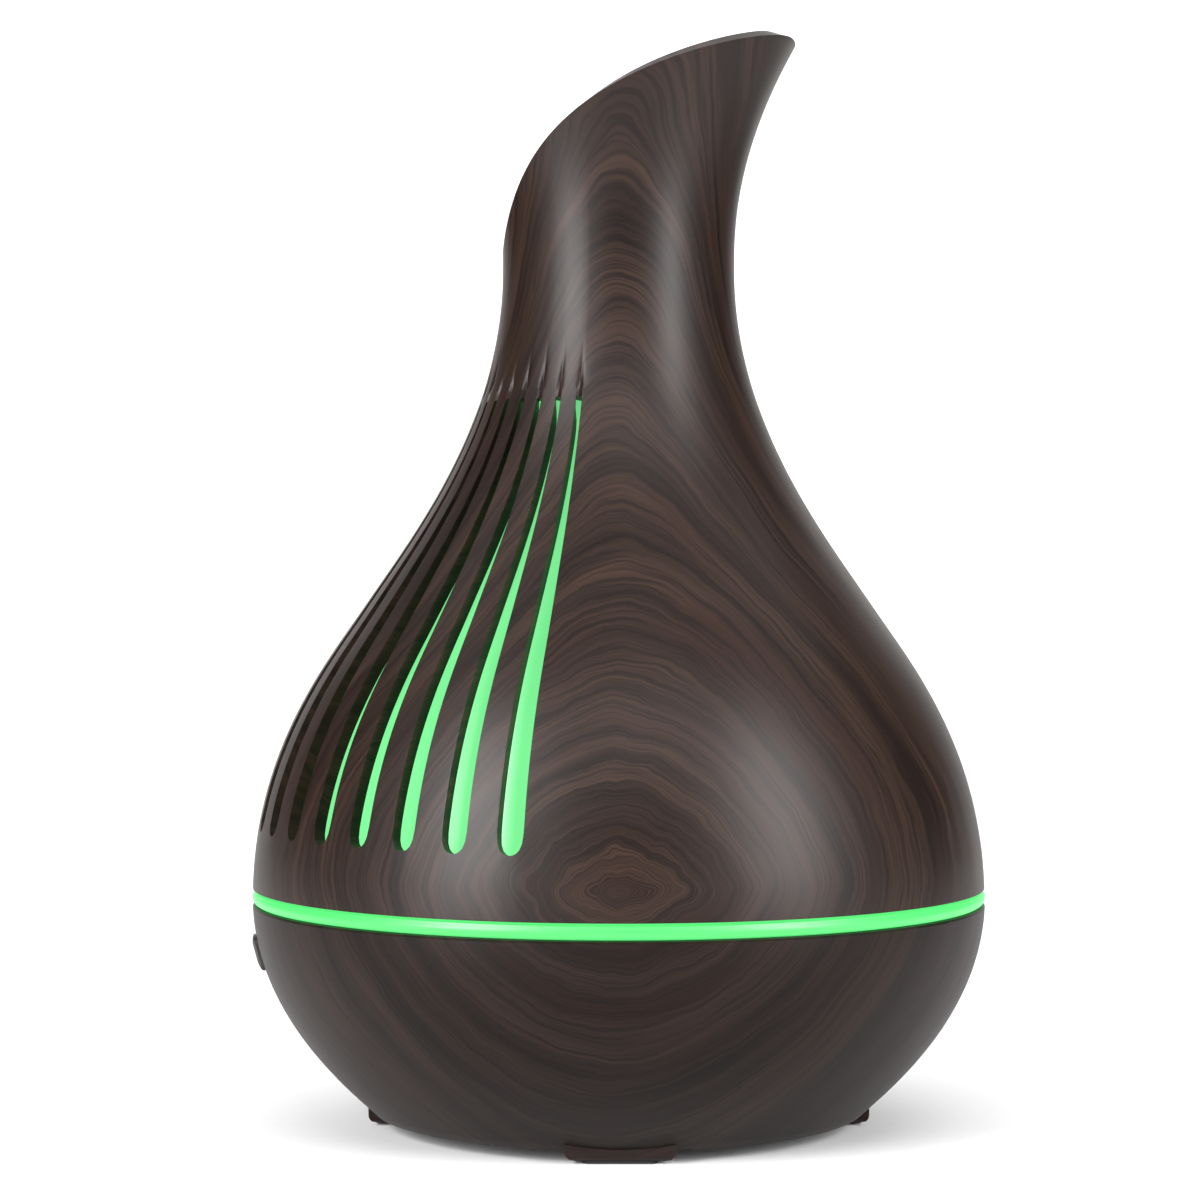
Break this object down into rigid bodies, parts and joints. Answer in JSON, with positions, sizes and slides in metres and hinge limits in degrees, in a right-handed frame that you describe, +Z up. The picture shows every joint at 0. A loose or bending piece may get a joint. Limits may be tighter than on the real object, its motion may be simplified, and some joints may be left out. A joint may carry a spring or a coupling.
{
  "type": "cool mist humidifier",
  "caption": "Gourd-shaped woodgrain cool mist humidifier with a slanted spout, lit slots, a light ring, a water tank and lift-off covers.",
  "frame": {"origin": "centre of the base on the surface that it stands on", "axes": "+Z up; +X towards the back, where the spout leans and the power inlet is; the buttons and slots face -X, the front"},
  "size_m": [0.1684, 0.1684, 0.2486],
  "materials": {
    "woodgrain_shell": "satin plastic with a printed dark woodgrain",
    "foot_plastic": "satin plastic with a printed woodgrain, redder than the bowl",
    "dark_button": "satin moulded plastic",
    "lit_ring": "translucent plastic, lit green from inside",
    "lit_shade": "translucent plastic, lit green from inside",
    "tank_plastic": "milky moulded plastic",
    "black_plastic": "fine moulded texture",
    "black_rubber": "soft matt rubber",
    "circuit_board": "green solder mask",
    "plated_steel": "zinc plated",
    "bare_aluminium": "extruded, bare",
    "disc_metal": "lapped metal face",
    "bearing_bronze": "sintered bronze",
    "copper_wire": "enamelled copper winding",
    "led_lamp": "clear moulded lamp"
  },
  "bodies": {
    "base": {"base_bowl": "woodgrain_shell", "bottom_plate": "black_plastic", "foot_1": "foot_plastic", "foot_2": "foot_plastic", "foot_3": "foot_plastic", "foot_4": "foot_plastic", "foot_pad_1": "black_rubber", "foot_pad_2": "black_rubber", "foot_pad_3": "black_rubber", "foot_pad_4": "black_rubber", "bottom_screw_1": "plated_steel", "bottom_screw_2": "plated_steel", "bottom_screw_3": "plated_steel", "bottom_screw_4": "plated_steel", "light_ring": "lit_ring", "water_tank": "tank_plastic", "tank_floor": "tank_plastic", "air_chimney": "tank_plastic", "disc_gasket": "black_rubber", "ultrasonic_disc": "disc_metal", "disc_retainer": "black_plastic", "retainer_screw_1": "plated_steel", "retainer_screw_2": "plated_steel", "retainer_screw_3": "plated_steel", "fan_housing": "black_plastic", "fan_cover": "black_plastic", "fan_bearing": "bearing_bronze", "fan_coil": "copper_wire", "air_duct": "black_plastic", "main_board": "circuit_board", "heat_sink": "bare_aluminium", "drive_transistor": "black_plastic", "drive_inductor": "copper_wire", "capacitor_1": "bare_aluminium", "capacitor_2": "bare_aluminium", "dc_jack": "black_plastic", "led_board": "circuit_board", "led_1": "led_lamp", "led_2": "led_lamp", "led_3": "led_lamp", "led_4": "led_lamp", "led_5": "led_lamp", "led_6": "led_lamp", "button_board": "circuit_board", "mist_switch": "black_plastic", "light_switch": "black_plastic"},
    "inner_cover": {"inner_cover": "lit_shade"},
    "outer_cover": {"outer_cover": "woodgrain_shell"},
    "mist_button": {"mist_button": "dark_button"},
    "light_button": {"light_button": "dark_button"},
    "fan_rotor": {"fan_rotor": "black_plastic", "fan_shaft": "plated_steel"}
  },
  "joints": [
    {"name": "inner_cover_lift", "type": "slide", "parent": "base", "child": "inner_cover", "axis": [0, 0, 1], "range_m": [0, 0.15]},
    {"name": "outer_cover_lift", "type": "slide", "parent": "inner_cover", "child": "outer_cover", "axis": [0, 0, 1], "range_m": [0, 0.2]},
    {"name": "mist_button_press", "type": "slide", "parent": "base", "child": "mist_button", "axis": [1, 0, 0], "range_m": [0, 0.001], "stiffness_N_per_m": 400},
    {"name": "light_button_press", "type": "slide", "parent": "base", "child": "light_button", "axis": [1, 0, 0], "range_m": [0, 0.001], "stiffness_N_per_m": 400},
    {"name": "fan_spin", "type": "hinge", "parent": "base", "child": "fan_rotor", "pos_m": [0, 0.022, 0.0104], "axis": [0, 0, 1], "continuous": true}
  ]
}
